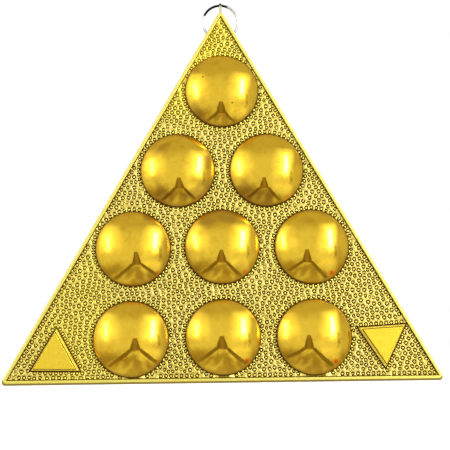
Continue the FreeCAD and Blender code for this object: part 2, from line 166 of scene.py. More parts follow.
def maths(operation, *parts):
    """A Math node on values, of which at least one is a wire."""
    tree = next(part.tree for part in parts if isinstance(part, Wire))
    return Wire.make(tree, "ShaderNodeMath", {"operation": operation}, dict(enumerate(parts)))


def vector_maths(operation, *parts, output=0):
    """The same for vectors; the first part is a wire."""
    settings = {"operation": operation}
    sockets = dict(enumerate(parts))
    return Wire.make(parts[0].tree, "ShaderNodeVectorMath", settings, sockets, output)


print("wires ready")

# %% [markdown]
# ## Nodes that come back often
#
# A few nodes are needed in nearly every tree: a mix of two colours or of two shaders by a mask,
# cloudy noise, and the three numbers of a vector. Each gets a short name of its own, so that a
# finish further down reads like its recipe. A colour is written as red, green and blue.

# %% Common nodes
def mix(mask, first, second):
    """One colour where the mask is 0, another where it is 1."""
    first, second = [c if isinstance(c, Wire) else (*c, 1.0) for c in (first, second)]
    sockets = {0: mask, 6: first, 7: second}
    return Wire.make(mask.tree, "ShaderNodeMix", {"data_type": "RGBA"}, sockets, 2)


def mix_shaders(mask, first, second):
    """One shader where the mask is 0, another where it is 1."""
    return Wire.make(mask.tree, "ShaderNodeMixShader", None, {0: mask, 1: first, 2: second})


def noise(where, scale, detail):
    """Cloudy noise from 0 to 1."""
    sockets = {"Vector": where, "Scale": scale, "Detail": detail}
    return Wire.make(where.tree, "ShaderNodeTexNoise", None, sockets)


def split(vector):
    """A vector's numbers, as the outputs X, Y and Z."""
    return Wire.make(vector.tree, "ShaderNodeSeparateXYZ", None, {0: vector})


def end_in(shader, kind="ShaderNodeOutputMaterial"):
    """Closes a tree: the shader goes into its output."""
    output = shader.tree.nodes.new(kind)
    shader.tree.links.new(shader.socket, output.inputs["Surface"])


def blank_material(name):
    """A new material with an empty tree."""
    material = bpy.data.materials.new(name)
    material.use_nodes = True
    material.node_tree.nodes.clear()
    return material


print("common nodes ready")

# %% [markdown]
# ## The room that the metal reflects
#
# Polished brass has hardly any look of its own: it shows the room. In the photograph each dome
# shows a tall soft lamp to the left and to the right, a broad glow beside each lamp, a dim warm
# ceiling and a darker table. A picture of a room could be wrapped round the scene, but a few
# soft patches, written by direction, say the same and stay plain.
#
# A direction is measured as it shows in a mirror ball: half-way between it and the viewer
# stands the ball's normal, and twice that normal's lean is `across` (to the right) and `up`,
# both in degrees. So a patch between two values of `across` is an upright streak on every dome.
# A little noise bends the edges.

# %% Directions in the room
DEGREES = 180.0 / math.pi
EDGE_WOBBLE = 9.0
TO_VIEWER = (0.0, -1.0, 0.0)


def room_angles(way):
    """Across, up and the turn from the front, all in degrees, and the noise of the edges."""
    lean = split(vector_maths("NORMALIZE", vector_maths("ADD", way, TO_VIEWER)))
    ruffle = noise(way, 3.4, 3.0)
    folds = noise(way, 7.0, 4.0)
    across = maths("ARCSINE", lean.out("X")) * (2.0 * DEGREES) + (ruffle - 0.5) * EDGE_WOBBLE
    up = maths("ARCSINE", lean.out("Z")) * (2.0 * DEGREES) + (folds - 0.5) * EDGE_WOBBLE
    turned = maths("ARCCOSINE", split(way).out("Y") * -1.0) * DEGREES
    return across, up, turned, folds


print("the edges of a patch wobble by up to", EDGE_WOBBLE / 2.0, "degrees")

# %% [markdown]
# ## Walls, table and lamps
#
# Three functions lay the light on. The walls are bright at eye level and fall off towards the
# ceiling and the table, with a broad glow on each side. Below the middle, where the stand of
# the camera will frame it, lies a creased cloth: its folds run away from the viewer, so the
# noise is spread by `across / up`. The two lamps are bright cores in wide halos. The two first
# numbers of a `ramp` are the degrees over which a patch begins or ends. Those of a `between` are
# its two ends, and the third is how soft they are.

# %% Light in the room
GLOW_RIGHT, GLOW_LEFT, TABLE_RIGHT, TABLE_LEFT = 0.60, 0.58, 0.30, -0.11
HALO_LEFT, HALO_RIGHT = 0.6, 0.7
CORE_LEFT, CORE_RIGHT = 8.0, 15.0


def wall_light(across, up):
    """Walls, ceiling and the pale right end of the table."""
    wall = up.ramp(26.0, 60.0, 0.66, 0.47) * up.ramp(-46.0, -16.0, 0.60, 1.0)
    wall = wall * across.ramp(56.0, 68.0, 1.0, 0.80)
    right = (across - up * 0.2).ramp(4.0, 32.0) * across.ramp(52.0, 66.0, 1.0, 0.0)
    right = right * up.ramp(-24.0, 14.0) * up.ramp(46.0, 60.0, 1.0, 0.0)
    left = across.ramp(-92.0, -70.0) * (across + up * 0.2).ramp(-48.0, -14.0, 1.0, 0.0)
    left = left * up.ramp(-14.0, 20.0) * up.ramp(46.0, 62.0, 1.0, 0.0)
    table = across.between(16.0, 60.0, 10.0) * up.between(-48.0, -22.0, 8.0)
    return wall + right * GLOW_RIGHT + left * GLOW_LEFT + table * TABLE_RIGHT


def cloth_light(across, up):
    """The creased cloth under the stand, and the darker table left of it."""
    under = (across * 0.57 - up).ramp(17.0, 27.0) * (across * -0.74 - up).ramp(15.0, 25.0)
    sockets = {"X": across / (up - 4.0) * 2.6, "Y": up * 0.03}
    spread = Wire.make(across.tree, "ShaderNodeCombineXYZ", None, sockets)
    creases = noise(spread, 1.2, 1.5).ramp(0.40, 0.60, -0.07, 0.10)
    left = across.ramp(-14.0, -34.0) * up.ramp(-18.0, -36.0) * (1.0 - under)
    return under * (creases + up.ramp(-50.0, -75.0, 0.0, 0.09)) + left * TABLE_LEFT


def lamp_light(across, up):
    """Two tall soft lamps, each with its halo."""
    left = across.between(-61.0, -54.0, 4.5) * up.between(3.0, 29.0, 8.0)
    right = across.between(40.0, 50.0, 4.5) * up.between(3.0, 37.0, 9.0)
    left_halo = across.between(-66.0, -50.0, 8.0) * up.between(-2.0, 34.0, 9.0)
    right_halo = across.between(35.0, 54.0, 8.0) * up.between(-3.0, 42.0, 9.0)
    halos = left_halo * HALO_LEFT + right_halo * HALO_RIGHT
    return halos + left * CORE_LEFT + right * CORE_RIGHT


print("lamps", CORE_LEFT, "and", CORE_RIGHT, "times as bright as white")

# %% [markdown]
# ## The world
#
# Now the patches come together. A dark post stands to the right of the right lamp, dim places
# are warmer than bright ones, and a small red cloth lies low on the right. What lies behind the
# plaque is pale, and the camera itself sees plain white.

# %% Room
POST_DARK = 0.5
BEHIND_LOW, BEHIND_HIGH = 0.25, 0.85
WARM = (1.0, 0.84, 0.62)
RED_CLOTH = (1.25, 0.26, 0.11)
WHITE = (1.0, 1.0, 1.0)


def paint_room():
    """The world: white to the camera, a softly lit room in the metal."""
    world = bpy.data.worlds.new("studio_room")
    world.use_nodes = True
    bpy.context.scene.world = world
    tree = world.node_tree
    tree.nodes.clear()
    way = Wire.make(tree, "ShaderNodeTexCoord", output="Generated")
    across, up, turned, folds = room_angles(way)

    light = wall_light(across, up) + cloth_light(across, up)
    post = across.between(53.0, 61.0, 3.0) * up.between(-22.0, 10.0, 6.0)
    post = post * folds.ramp(0.36, 0.56)
    light = light * (1.0 - post * POST_DARK) * (1.06 + folds * 0.28)
    light = light + lamp_light(across, up)
    behind = turned.ramp(88.0, 112.0)
    light = light * (1.0 - behind) + behind * up.ramp(-12.0, 0.0, BEHIND_LOW, BEHIND_HIGH)

    tint = mix(light.ramp(0.34, 0.80), WARM, WHITE)
    red = across.between(49.0, 57.0, 2.0) * up.between(-57.0, -46.0, 2.5)
    tint = mix(red, tint, RED_CLOTH)
    room = Wire.make(tree, "ShaderNodeBackground", None, {"Color": tint, "Strength": light})
    sockets = {"Color": (*WHITE, 1.0), "Strength": 1.0}
    white = Wire.make(tree, "ShaderNodeBackground", None, sockets)
    seen = Wire.make(tree, "ShaderNodeLightPath", output="Is Camera Ray")
    end_in(mix_shaders(seen, room, white), "ShaderNodeOutputWorld")
    return world


room = paint_room()
print("room nodes:", len(room.node_tree.nodes))

# %% [markdown]
# ## Two lamps
#
# Two strip lamps stand far to the left and right and a little above the plaque, where the room
# has their soft faces. The metal takes its light from the room, so these lamps are hidden from
# it and light only what is dull: the brown residue and the floor with the plaque's shadow.
# Their power is worked out from the brightness that a viewer would see in their faces.

# %% Lamps
PLAQUE_MIDDLE = Vector((0.0, -5.0, 55.0)) * MM
LAMP_FAR = 0.9
STRIP_LAMPS = [
    # name, degrees across and up, degrees wide and tall, brightness
    ("lamp_left", -61.0, 17.0, 7.5, 32.0, 9.0),
    ("lamp_right", 48.0, 20.0, 8.5, 38.0, 12.0),
]


def direction(across, up):
    """The unit vector that turns so far from the front to the right, and rises so far."""
    a, u = math.radians(across), math.radians(up)
    return Vector((math.sin(a) * math.cos(u), -math.cos(a) * math.cos(u), math.sin(u)))


def add_strip_lamp(name, across, up, wide, tall, brightness):
    """A strip lamp that faces the plaque; wide and tall are angles as seen from it."""
    size = [2.0 * LAMP_FAR * math.tan(math.radians(angle / 2.0)) for angle in (wide, tall)]
    data = bpy.data.lights.new(name, "AREA")
    data.shape = "RECTANGLE"
    data.size, data.size_y = size
    data.energy = brightness * math.pi * size[0] * size[1]
    lamp = bpy.data.objects.new(name, data)
    way = direction(across, up)
    turn = way.to_track_quat("Z", "Y").to_matrix().to_4x4()
    lamp.matrix_world = Matrix.Translation(PLAQUE_MIDDLE + way * LAMP_FAR) @ turn
    lamp.visible_glossy = False
    bpy.context.scene.collection.objects.link(lamp)
    return lamp


for lamp_settings in STRIP_LAMPS:
    lamp = add_strip_lamp(*lamp_settings)
    print(lamp.name, "power", round(lamp.data.energy, 3), "W")

# %% [markdown]
# ## Floor
#
# A wall hanging has nothing under it, so the floor lies a hand's breadth lower and only catches
# a soft shadow. Seen by the camera, most of its white is its own, and the rest is the light
# that falls on it, so that the shadow stays. From below it is clear, so that it hides nothing.

# %% Floor
FLOOR_LEVEL = -60.0 * MM
FLOOR_REACH = 3.0
FLOOR_GREY = (0.86, 0.86, 0.86, 1.0)
FLOOR_GLOW = 0.36
FADE_FROM, FADE_TO = 0.6, 2.0


def pale_paint():
    """Paint with a glow of its own near the plaque, white far out, clear from below."""
    material = blank_material("pale_floor")
    tree = material.node_tree
    paint = Wire.make(tree, "ShaderNodeBsdfDiffuse", None, {"Color": FLOOR_GREY})
    glow = Wire.make(tree, "ShaderNodeEmission", None, {"Strength": FLOOR_GLOW})
    both = Wire.make(tree, "ShaderNodeAddShader", None, {0: paint, 1: glow})
    white = Wire.make(tree, "ShaderNodeEmission", None, {"Strength": 1.0})
    where = Wire.make(tree, "ShaderNodeTexCoord", output="Object")
    reach = vector_maths("LENGTH", where, output="Value")
    path = Wire.make(tree, "ShaderNodeLightPath")
    mirrored = path.out("Is Glossy Ray") + path.out("Is Transmission Ray")
    eye = maths("MAXIMUM", path.out("Is Camera Ray"), mirrored)
    near = mix_shaders(eye, paint, both)
    floor = mix_shaders(reach.ramp(FADE_FROM, FADE_TO), near, white)
    below = Wire.make(tree, "ShaderNodeNewGeometry", output="Backfacing")
    end_in(mix_shaders(below, floor, Wire.make(tree, "ShaderNodeBsdfTransparent")))
    return material


def add_floor():
    """A pale round floor that goes over into the white background."""
    bpy.ops.mesh.primitive_circle_add(
        vertices=64, radius=FLOOR_REACH, fill_type="NGON", location=(0.0, 0.0, FLOOR_LEVEL)
    )
    floor = bpy.context.object
    floor.name = "floor"
    floor.data.materials.append(pale_paint())
    floor.visible_glossy = False
    return floor


floor = add_floor()
print("floor at", FLOOR_LEVEL)

# %% [markdown]
# ## The camera's stand
#
# In every dome stands a dark upside-down V: the stand that the camera was on, a board with two
# rails in front of its foot. A dull cloth on it would be lit by the room and change with it. So
# it glows weakly by itself, with its light and shade painted into the glow: dark on the board,
# paler along its middle and towards the rails' ends, and a painted highlight, a pale sill, low on
# the board.

# %% Cloth of the stand
BOARD_TINT = (0.225, 0.168, 0.105)
RAIL_TINT = (0.30, 0.23, 0.15)
MIDDLE_LIT_TINT = (0.36, 0.27, 0.18)
SILL_HIGHLIGHT_TINT = (0.62, 0.46, 0.40)


def dark_cloth():
    """Its own weak glow sets how dark it looks in the metal."""
    material = blank_material("dark_stand")
    tree = material.node_tree
    place = split(Wire.make(tree, "ShaderNodeTexCoord", output="Object"))
    x, deep, high = [place.out(axis) / MM for axis in "XYZ"]
    near = deep.ramp(-220.0, -50.0)
    tint = mix(near, BOARD_TINT, RAIL_TINT)
    # painted light: the glow is paler along the board's middle
    middle = abs(x + 5.0).ramp(24.0, 8.0) * (1.0 - near)
    tint = mix(middle * 0.8, tint, MIDDLE_LIT_TINT)
    # painted highlight: a pale sill low on the board
    sill = high.ramp(-94.0, -98.0) * abs(x).ramp(44.0, 34.0) * near.ramp(0.05, 0.0)
    tint = mix(sill, tint, SILL_HIGHLIGHT_TINT)
    end_in(Wire.make(tree, "ShaderNodeEmission", None, {"Color": tint, "Strength": 1.0}))
    return material


cloth = dark_cloth()
print("stand cloth:", cloth.name)

# %% [markdown]
# The board is broad and leans from under the camera down to the table, and the rails run on
# from its foot towards the plaque. The board is a plane with its upper corners drawn together,
# and the rails are stretched cubes. Only the metal sees them, so no other view has them in its
# way.

# %% Camera stand
STAND_TOP = Vector((-7.0, -279.0, 24.0)) * MM
STAND_FOOT = Vector((-4.0, -240.0, -104.0)) * MM
TOP_HALF_WIDTH = 17.0 * MM
FOOT_HALF_WIDTH = 58.0 * MM
RAIL_OUT, RAIL_RISE = 46.0, 14.0
RAIL_ENDS = [Vector((-242.0, -49.0, -220.0)) * MM, Vector((200.0, -52.0, -212.0)) * MM]
RAIL_THICKNESS = 22.0 * MM


def deselect_all():
    """Back to object mode with nothing selected, so that an operator meets only its own piece."""
    if bpy.context.object and bpy.context.object.mode != "OBJECT":
        bpy.ops.object.mode_set(mode="OBJECT")
    bpy.ops.object.select_all(action="DESELECT")


def apply_place():
    """The selected piece's place, turn and size go into its mesh."""
    bpy.ops.object.transform_apply(location=True, rotation=True, scale=True)


def add_board():
    """The leaning board: a plane whose two upper corners are drawn together."""
    bpy.ops.mesh.primitive_plane_add(size=1.0, location=(0.0, 0.0, 0.0))
    board = bpy.context.object
    for corner in board.data.vertices:
        at_foot = corner.co.y < 0.0
        middle = STAND_FOOT if at_foot else STAND_TOP
        half = FOOT_HALF_WIDTH if at_foot else TOP_HALF_WIDTH
        corner.co = middle + Vector((math.copysign(half, corner.co.x), 0.0, 0.0))
    return board


def add_rail(start, end):
    """A straight bar between two points."""
    run = end - start
    bpy.ops.mesh.primitive_cube_add(size=1.0, location=(start + end) / 2.0)
    rail = bpy.context.object
    rail.scale = (RAIL_THICKNESS, RAIL_THICKNESS, run.length)
    rail.rotation_euler = run.to_track_quat("Z", "Y").to_euler()
    return rail


def add_stand():
    """The board and its two rails, joined into one object."""
    deselect_all()
    board = add_board()
    rails = []
    for side, end in zip((-1.0, 1.0), RAIL_ENDS):
        start = STAND_FOOT + Vector((side * RAIL_OUT, 0.0, RAIL_RISE)) * MM
        rails.append(add_rail(start, end))
    for piece in rails + [board]:
        piece.select_set(True)
    bpy.context.view_layer.objects.active = board
    bpy.ops.object.join()
    apply_place()
    board.name = "camera_stand"
    board.data.materials.append(cloth)
    board.visible_camera = False
    board.visible_shadow = False
    board.visible_diffuse = False
    return board


stand = add_stand()
print("stand faces:", len(stand.data.polygons))

# %% [markdown]
# ## What all the metals share
#
# Each finish starts from the place of a point on the plaque, in millimetres: `x` across, `high`
# up the plaque, `front` forward from the wall, and `above` forward from the beaded ground. A
# pattern on these coordinates stays where it is on the metal, whatever the camera does.

# %% Metal helpers
GROUND = 4.4


class Metal:
    """A finish in the making: its tree, and the wires of place in mm."""

    def __init__(self, name):
        self.material = blank_material(name + "_finish")
        self.tree = self.material.node_tree
        self.where = Wire.make(self.tree, "ShaderNodeTexCoord", output="Object")
        place = split(self.where)
        self.x, self.high = place.out("X") / MM, place.out("Z") / MM
        self.front = place.out("Y") / -MM
        self.above = self.front - GROUND

    def noise(self, per_mm, detail):
        """Cloudy noise from 0 to 1, with so many features to the millimetre."""
        return noise(self.where, per_mm / MM, detail)

    def square_of_distance(self, px, pz):
        """From a place on the plaque, as seen from the front."""
        dx, dz = self.x - px, self.high - pz
        return dx * dx + dz * dz

    def finish(self, colour, roughness, height, depth_mm, metallic=1.0):
        """One Principled shader, with a bump that is so many millimetres deep."""
        sockets = {"Strength": 1.0, "Distance": depth_mm * MM, "Height": height}
        normal = Wire.make(self.tree, "ShaderNodeBump", None, sockets, "Normal")
        sockets = {
            "Base Color": colour, "Roughness": roughness, "Normal": normal, "Metallic": metallic,
        }
        end_in(Wire.make(self.tree, "ShaderNodeBsdfPrincipled", None, sockets))
        return self.material


def dress(node_name, material):
    """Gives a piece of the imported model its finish."""
    piece = nodes[node_name]
    piece.data.materials.clear()
    piece.data.materials.append(material)


print("metal helpers ready")

# %% [markdown]
# ## The cast plate
#
# One casting, three skins. The front is a lemon-coloured cast brass, bright on the rim, where
# hands and cloths have rubbed it, and brown down on the ground between the beads. The back is
# as it came from the sand: dull, darker and grainy. The narrow back edge was filed flat, so
# that the plaque lies close to the wall. The surface's own normal tells front from back.

# %% Cast brass
def make_cast_brass():
    """Lemon brass in front, brown on the ground, sandy behind and filed at the back edge."""
    metal = Metal("cast_brass")
    facing = Wire.make(metal.tree, "ShaderNodeNewGeometry", output="True Normal")
    facing = split(facing).out("Y")
    cloud, grain, sand = metal.noise(0.09, 3.0), metal.noise(1.6, 3.0), metal.noise(3.2, 4.0)

    side = facing.ramp(-0.90, -0.45)
    lemon = mix(cloud, (0.93, 0.82, 0.14), (0.97, 0.88, 0.23))
    lemon = mix(side * 0.85, lemon, (0.87, 0.67, 0.07))
    on_ground = metal.above.ramp(0.12, 0.02) * facing.ramp(-0.90, -0.97)
    patina = mix(grain, (0.30, 0.17, 0.02), (0.52, 0.36, 0.06))
    front_skin = mix(on_ground, lemon, patina)

    back = facing.ramp(0.55, 0.85)
    filed = metal.front.ramp(0.25, 0.05)
    hollow = mix(cloud, (0.56, 0.40, 0.14), (0.76, 0.58, 0.23))
    back_skin = mix(filed, hollow, (0.88, 0.73, 0.32))

    rough = 0.42 + grain * 0.14 + back * 0.12 - back * filed * 0.26
    height = sand * back * (1.0 - filed * 0.8) + grain * 0.22
    return metal.finish(mix(back, front_skin, back_skin), rough, height, 0.10)


cast_brass = make_cast_brass()
dress("base_plate", cast_brass)
print("base_plate wears", cast_brass.name)

# %% [markdown]
# ## The punched ground
#
# The ground of the model from which the plate was cast was struck all over with a ring punch.
# Each blow leaves a bead in a round groove, and the land between the grooves stays as a bright
# net. A bump in the material could fake this, but it would vanish along the edges. So the net is
# modelled: the ground is divided into one cell for each blow, and all cells are then shaped
# together by insets, ring by ring, as one face would be by hand.
#
# The maker first struck a neat row round every dome, along every side of the raised triangles
# and along the rim, and then filled the rest freely. First the things are found that stand in
# the way of the punch. All lengths are in millimetres.

# %% What stands on the ground
RIM_INSET = 2.0
APEX_HEIGHT = 131.98
HALF_SIDE = APEX_HEIGHT / math.sqrt(3.0)
SIDE_NORMAL = (math.cos(math.radians(30.0)), math.sin(math.radians(30.0)))
UPRIGHT_TURN, INVERTED_TURN = -0.9, 183.6
FOOT_FLAT = 0.01
EVERYWHERE = 200.0

dome_middles = []
for number in range(1, 10):
    low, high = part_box(f"dome_{number}")
    dome_middles.append(((low.x + high.x) / 2.0 / MM, (low.z + high.z) / 2.0 / MM))
DOME_RADIUS = (high.x - low.x) / 2.0 / MM


def triangle_tips(name, turn):
    """The three foot corners of a raised triangle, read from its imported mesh."""
    points = [v.co for v in nodes[name].data.vertices]
    foot = max(p.y for p in points)
    ring = [p for p in points if abs(p.y - foot) < FOOT_FLAT * MM]
    angles = [math.radians(90.0 + turn + 120.0 * k) for k in range(3)]
    tips = [max(ring, key=lambda p: p.x * math.cos(a) + p.z * math.sin(a)) for a in angles]
    return [(t.x / MM, t.z / MM) for t in tips]


def walls_near(x, z, reach):
    """Lines that end the ground near a place: a point on each, its normal away from the ground,
    and how far the place is from it."""
    walls = []
    for cx, cz in dome_middles:
        far = math.hypot(cx - x, cz - z)
        nx, nz = (cx - x) / far, (cz - z) / far
        walls.append((cx - nx * DOME_RADIUS, cz - nz * DOME_RADIUS, nx, nz, far - DOME_RADIUS))
    for tips in raised:
        sides = []
        for (ax, az), (bx, bz) in zip(tips, tips[1:] + tips[:1]):
            length = math.hypot(bx - ax, bz - az)
            nx, nz = (az - bz) / length, (bx - ax) / length
            sides.append((ax, az, nx, nz, (ax - x) * nx + (az - z) * nz))
        walls.append(max(sides, key=lambda side: side[4]))
    for nx, nz, px, pz in [
        (0.0, -1.0, 0.0, RIM_INSET),
        (SIDE_NORMAL[0], SIDE_NORMAL[1], 0.0, APEX_HEIGHT - 2.0 * RIM_INSET),
        (-SIDE_NORMAL[0], SIDE_NORMAL[1], 0.0, APEX_HEIGHT - 2.0 * RIM_INSET),
    ]:
        walls.append((px, pz, nx, nz, (px - x) * nx + (pz - z) * nz))
    return [wall for wall in walls if wall[4] < reach]


def room_at(x, z):
    """How far a place is from the nearest dome, triangle or rim."""
    return min((wall[4] for wall in walls_near(x, z, EVERYWHERE)), default=0.0)


raised = [
    triangle_tips("upright_triangle", UPRIGHT_TURN),
    triangle_tips("inverted_triangle", INVERTED_TURN),
]
print("dome radius", round(DOME_RADIUS, 3), "mm, raised triangles", len(raised))

# %% [markdown]
# ## A ledger of places
#
# Each new blow has to keep its distance from the ones before it. Comparing it with all of them
# would be slow, so the places are sorted into squares, and only the squares around a place are
# searched.

# %% Ledger of places
class Places:
    """Places kept so far, sorted into squares, so that neighbours are found fast."""

    SQUARE = 2.5

    def __init__(self, kept):
        self.kept = []
        self.squares = {}
        for place in kept:
            self.keep(*place)

    def square(self, x, z):
        return math.floor(x / self.SQUARE), math.floor(z / self.SQUARE)

    def keep(self, x, z):
        self.kept.append((x, z))
        self.squares.setdefault(self.square(x, z), []).append((x, z))

    def around(self, x, z, squares=1):
        column, row = self.square(x, z)
        for i in range(column - squares, column + squares + 1):
            for j in range(row - squares, row + squares + 1):
                yield from self.squares.get((i, j), ())

    def near(self, x, z, step):
        return any((ox - x) ** 2 + (oz - z) ** 2 < step * step for ox, oz in self.around(x, z))


print("a ledger's square is", Places.SQUARE, "mm wide")

# %% [markdown]
# ## Where the blows fall
#
# The places are found as the maker found them: rows first, then random places that keep their
# distance. A second, tighter round fills the narrow spots. The random numbers start from a
# fixed seed, so the plaque is the same each time.

# %% Places of the blows
ROW_GAP = 0.86
ROW_STEP = 1.75
ROOM_SHARE, STEP_SHARE = 0.93, 0.86    # of the gap and the step, so much has to be free
NARROW_GAP = 0.42
FREE_STEP = 1.39
TRIES = 40000
SEED = 11
dice = random.Random(SEED)


def middle_of(points):
    """The mean of some places."""
    return tuple(sum(p[k] for p in points) / len(points) for k in (0, 1))


def strike_row(places, path):
    """Strikes evenly along a path of points, wherever there is room."""
    carried = ROW_STEP / 2.0
    for (ax, az), (bx, bz) in zip(path, path[1:]):
        run = math.hypot(bx - ax, bz - az)
        while carried < run:
            x, z = ax + (bx - ax) * carried / run, az + (bz - az) * carried / run
            roomy = room_at(x, z) > ROW_GAP * ROOM_SHARE
            if roomy and not places.near(x, z, ROW_STEP * STEP_SHARE):
                places.keep(x, z)
            carried += ROW_STEP
        carried -= run


def strike_rows(places):
    """Neat rows round everything that stands on the ground."""
    reach = DOME_RADIUS + ROW_GAP
    count = round(2.0 * math.pi * reach / ROW_STEP)
    for cx, cz in dome_middles:
        start = dice.random()
        angles = [2.0 * math.pi * (k + start) / count for k in range(count + 1)]
        path = [(cx + reach * math.cos(a), cz + reach * math.sin(a)) for a in angles]
        strike_row(places, path)
    for tips in raised:
        mx, mz = middle_of(tips)
        grown = 1.0 + 2.0 * ROW_GAP / math.hypot(tips[0][0] - mx, tips[0][1] - mz)
        path = [(mx + (x - mx) * grown, mz + (z - mz) * grown) for x, z in tips]
        strike_row(places, path + path[:1])
    inset = RIM_INSET + ROW_GAP
    half = HALF_SIDE - inset * math.sqrt(3.0)
    path = [(-half, inset), (half, inset), (0.0, APEX_HEIGHT - 2.0 * inset)]
    strike_row(places, path + path[:1])


def strike_freely(places, room):
    """Random places, each with room around it."""
    for _ in range(TRIES):
        x = dice.uniform(-HALF_SIDE, HALF_SIDE)
        z = dice.uniform(0.0, APEX_HEIGHT)
        if not places.near(x, z, FREE_STEP) and room_at(x, z) > room:
            places.keep(x, z)


places = Places([])
strike_rows(places)
in_rows = len(places.kept)
strike_freely(places, ROW_GAP)
strike_freely(places, NARROW_GAP)
print("blows in neat rows:", in_rows, "all:", len(places.kept))

# %% [markdown]
# ## One cell for each blow
#
# A cell is all the ground that is nearer to its blow than to any other. It starts as a square
# and is cut back by the line half-way to each neighbour, and by every dome, triangle or rim
# close by, a little of it left to tuck under. Blows by hand keep about the same distance,
# because the eye sees a gap at once, so each free place is moved most of the way to the middle
# of its cell, twice.

# %% Cells
CELL_REACH = 2.6
TUCK_UNDER = 0.35
SETTLE_SHARE = 0.7
SETTLE_ROUNDS = 2


def clip(cell, px, pz, nx, nz):
    """The part of a convex cell behind a line, given by a point and its outward normal."""
    kept = []
    for (ax, az), (bx, bz) in zip(cell, cell[1:] + cell[:1]):
        a = (ax - px) * nx + (az - pz) * nz
        b = (bx - px) * nx + (bz - pz) * nz
        if a <= 0.0:
            kept.append((ax, az))
        if (a < 0.0 < b) or (b < 0.0 < a):
            share = a / (a - b)
            kept.append((ax + (bx - ax) * share, az + (bz - az) * share))
    return kept


def cell_round(places, x, z):
    """All that is nearer to this place than to any other, up to the walls and a little under."""
    left, right, down, top = x - CELL_REACH, x + CELL_REACH, z - CELL_REACH, z + CELL_REACH
    cell = [(left, down), (right, down), (right, top), (left, top)]
    for ox, oz in places.around(x, z, 2):
        if (ox, oz) != (x, z):
            cell = clip(cell, (x + ox) / 2.0, (z + oz) / 2.0, ox - x, oz - z)
    for px, pz, nx, nz, _ in walls_near(x, z, 1.5 * CELL_REACH):
        cell = clip(cell, px + nx * TUCK_UNDER, pz + nz * TUCK_UNDER, nx, nz)
    return cell


def settle(places):
    """Moves each free place most of the way to the middle of its cell."""
    moved = list(places.kept[:in_rows])
    for x, z in places.kept[in_rows:]:
        mx, mz = middle_of(cell_round(places, x, z))
        moved.append((x + (mx - x) * SETTLE_SHARE, z + (mz - z) * SETTLE_SHARE))
    return Places(moved)


for _ in range(SETTLE_ROUNDS):
    places = settle(places)
print("places settled:", len(places.kept))

# %% [markdown]
# ## Strike them all
#
# All cells of a part of the plaque make one sheet, at the height of the land, and the same
# insets shape all its faces at once. The beads have some 150,000 triangles in all, so three
# sheets share them, and no mesh gets too heavy. A cell with little room gets a smaller bead,
# and one with none stays flat.

# %% Flat sheets
LAND = 0.25
LONG_EDGE = 0.7
SHEETS = [("beads_lower", 0.0, 22.0), ("beads_middle", 22.0, 58.0), ("beads_upper", 58.0, 140.0)]


def land_sheet(name, low, high):
    """A flat sheet of cells, with the places that they belong to."""
    verts, faces, middles = [], [], []
    for x, z in places.kept:
        if not low <= z < high:
            continue
        cell = cell_round(places, x, z)
        ring = []
        for (ax, az), (bx, bz) in zip(cell, cell[1:] + cell[:1]):
            ring.append((ax, az))
            if math.hypot(bx - ax, bz - az) > LONG_EDGE:
                ring.append(((ax + bx) / 2.0, (az + bz) / 2.0))
        faces.append(tuple(range(len(verts), len(verts) + len(ring))))
        verts.extend((px * MM, -(GROUND + LAND) * MM, pz * MM) for px, pz in ring)
        middles.append((x, z))
    mesh = bpy.data.meshes.new(name)
    mesh.from_pydata(verts, [], faces)
    sheet = bpy.data.objects.new(name, mesh)
    bpy.context.scene.collection.objects.link(sheet)
    return sheet, middles


sheets = []
for name, low, high in SHEETS:
    sheets.append(land_sheet(name, low, high))
    print(name, "cells", len(sheets[-1][1]))

# %% [markdown]
# An operator acts on all that is selected, so each piece is picked alone before it is worked
# on. Inside a piece, faces and edges are picked by a test on their place or normal.

# %% Selecting
def pick_only(piece):
    """Makes a piece the only one that operators meet."""
    deselect_all()
    piece.select_set(True)
    bpy.context.view_layer.objects.active = piece


def select_where(piece, kind, test):
    """Goes into edit mode with just those faces or edges selected that the test picks."""
    bpy.ops.object.mode_set(mode="EDIT")
    bpy.ops.mesh.select_mode(type=kind)
    bpy.ops.mesh.select_all(action="DESELECT")
    bpy.ops.object.mode_set(mode="OBJECT")
    for part in (piece.data.polygons if kind == "FACE" else piece.data.edges):
        part.select = test(part)
    bpy.ops.object.mode_set(mode="EDIT")


print("selecting tools ready")

# %% [markdown]
# Now the blows. Every cell gets an inner face, and its corners are drawn onto a circle round
# the blow. Then the steps follow, each an inset and a depth in millimetres: down over the lip,
# along the groove, up the bead's side, over its shoulder. The last face is poked into a crown.

# %% Striking
LIP_RADIUS = 0.80
NET_WIDTH = 0.05
BLOW_STEPS = [(0.09, -0.22), (0.22, -0.01), (0.08, 0.17), (0.14, 0.08)]
CROWN_RISE = 0.03
FULL_ROOM = 0.56
SMALL = 0.6
HAIR = 0.001
BEADS_SMOOTH = math.radians(75.0)


def inner_room(corners, x, z):
    """How far the nearest edge of a face is from its middle, in mm."""
    points = [(c.co.x / MM - x, c.co.z / MM - z) for c in corners]
    least = LIP_RADIUS
    for (ax, az), (bx, bz) in zip(points, points[1:] + points[:1]):
        long = math.hypot(bx - ax, bz - az)
        if long > HAIR:
            least = min(least, abs(ax * bz - az * bx) / long)
    return least


